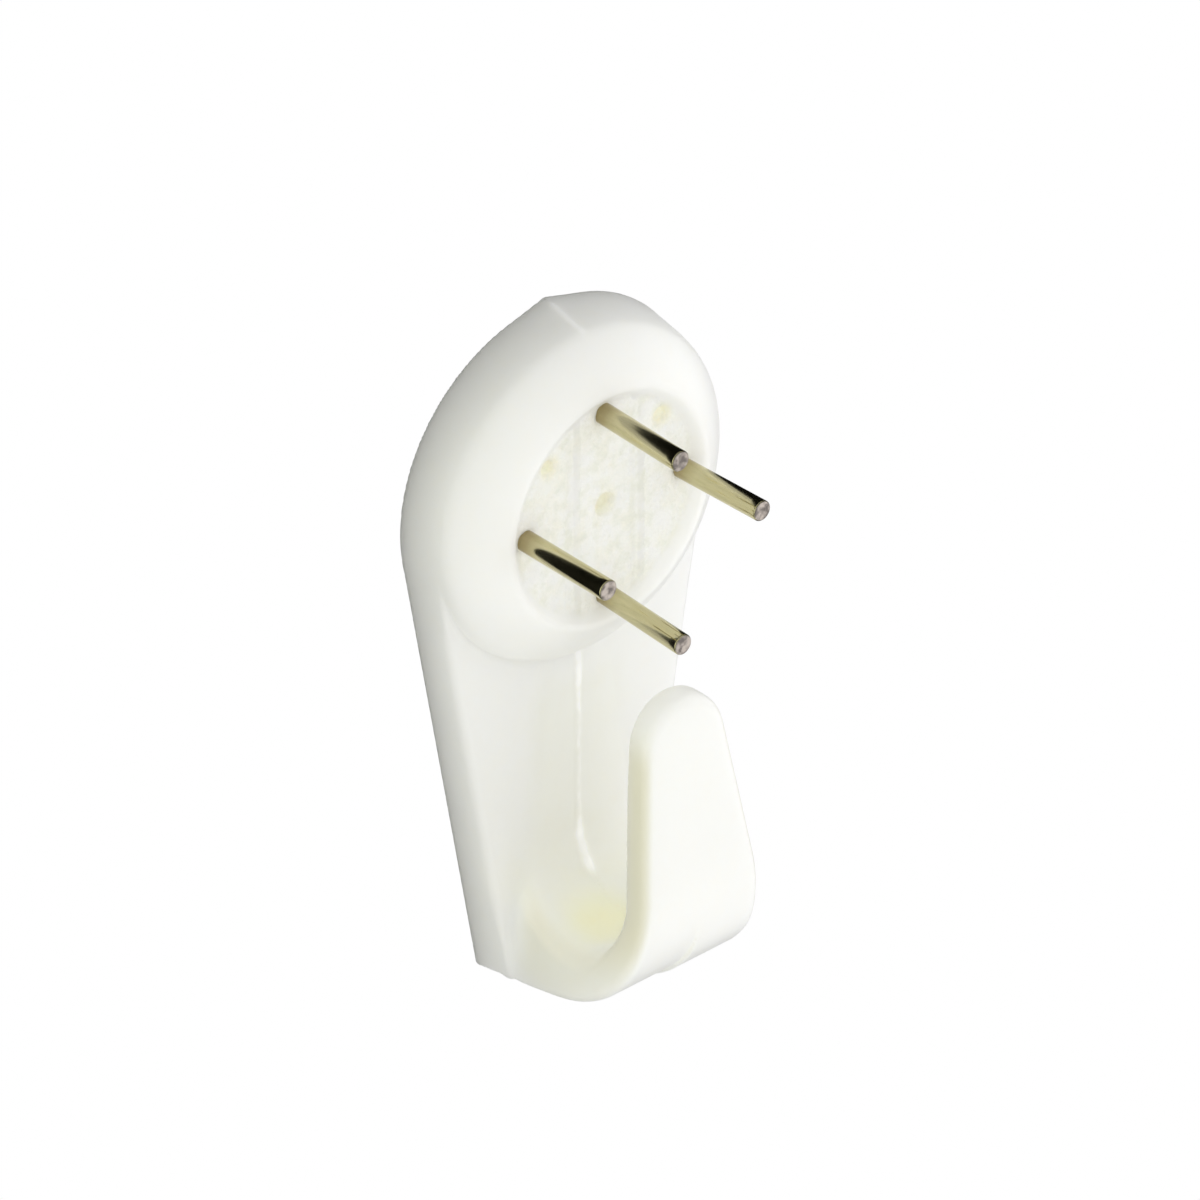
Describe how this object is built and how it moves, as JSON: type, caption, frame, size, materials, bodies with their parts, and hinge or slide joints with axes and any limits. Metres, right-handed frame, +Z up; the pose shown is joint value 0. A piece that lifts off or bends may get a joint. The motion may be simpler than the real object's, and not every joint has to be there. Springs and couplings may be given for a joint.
{
  "type": "picture hook",
  "caption": "White plastic hardwall picture hook with a round recessed head, steel pins standing out of the recess, a tapering stem and an upturned J-shaped hook",
  "frame": {"origin": "on the flat back face, at the centre of the circle of pins", "axes": "+X to the right seen from the room, -Y out of the wall towards the room, +Z up along the stem"},
  "size_m": [0.0208, 0.0126, 0.0404],
  "materials": {
    "moulding": "smooth moulded, ivory white, slightly translucent",
    "pin": "polished hardened steel with a pale brass plating"
  },
  "bodies": {
    "root": {"hook_body": "moulding", "top_pin": "pin", "left_pin": "pin", "right_pin": "pin", "bottom_pin": "pin"}
  },
  "joints": []
}
